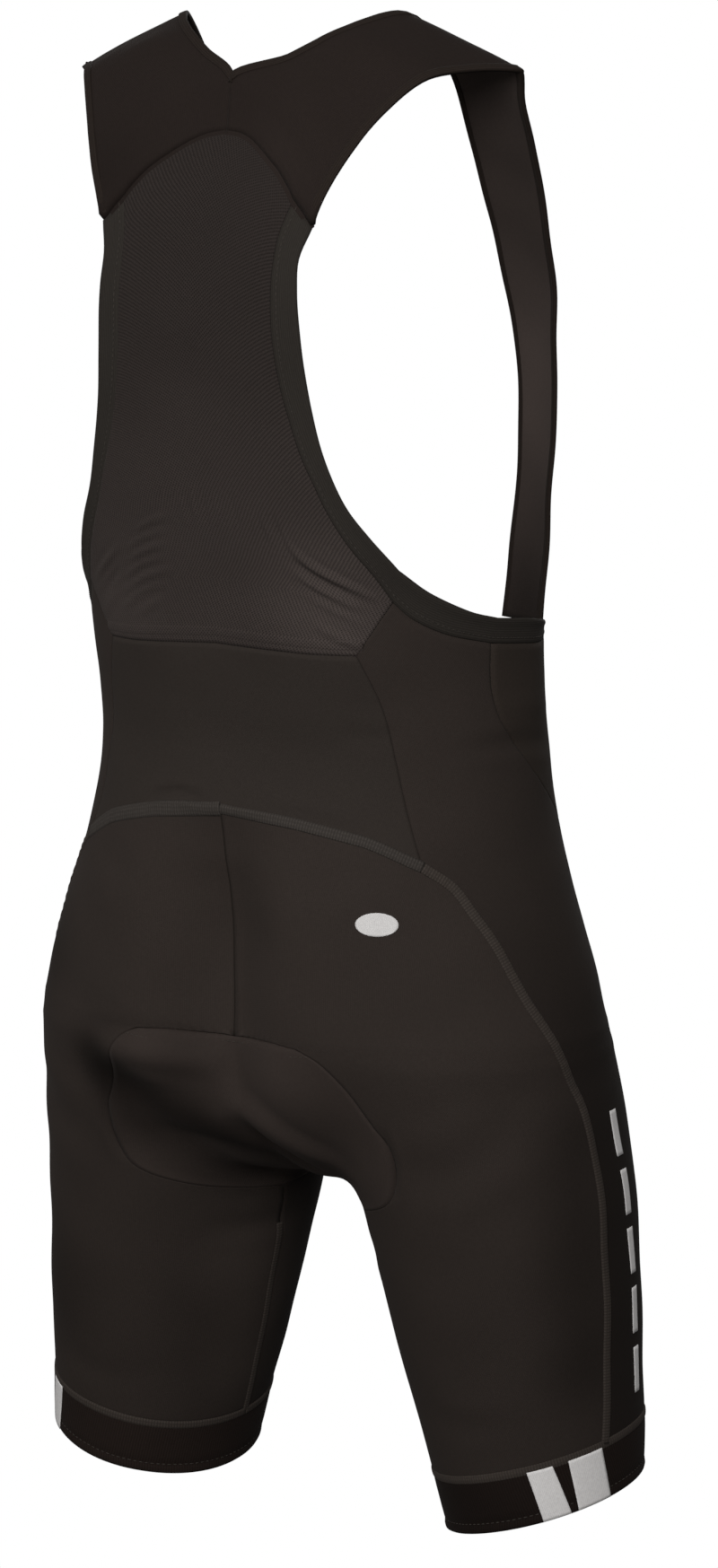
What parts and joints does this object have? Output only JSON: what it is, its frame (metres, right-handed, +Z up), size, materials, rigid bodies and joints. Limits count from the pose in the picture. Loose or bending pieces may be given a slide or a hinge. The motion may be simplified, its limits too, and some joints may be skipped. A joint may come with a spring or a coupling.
{
  "type": "cycling bib shorts",
  "caption": "Close-fitting cycling bib shorts in their hollow worn pose: yoked shoulder straps, open mesh back, low front bib, shaped seat with pad, and leg grippers",
  "frame": {"origin": "on the line over the shoulders from which the wearer holds the garment up, midway between the straps and level with their neck ends", "axes": "+Z up along the body, +Y to the back, -Y to the front, +X to the wearer's left"},
  "size_m": [0.3908, 0.234, 0.8527],
  "materials": {
    "yoke_knit": "matt stretch knit",
    "back_mesh": "fine open mesh knit",
    "binding": "turned stretch edge",
    "main_knit": "smooth stretch knit with a soft sheen",
    "side_knit": "smooth stretch knit with a soft sheen",
    "bib_knit": "smooth stretch knit",
    "pad_cover": "stretch knit over foam",
    "gripper": "dense elastic band"
  },
  "bodies": {
    "root": {"strap_left": "yoke_knit", "strap_right": "yoke_knit", "back_mesh": "back_mesh", "armhole_band_left": "binding", "armhole_band_right": "binding", "lower_back": "main_knit", "seat_left": "main_knit", "seat_right": "main_knit", "side_left": "side_knit", "side_right": "side_knit", "front_bib": "bib_knit", "seat_pad": "pad_cover", "hem_band_left": "gripper", "hem_band_right": "gripper"}
  },
  "joints": []
}
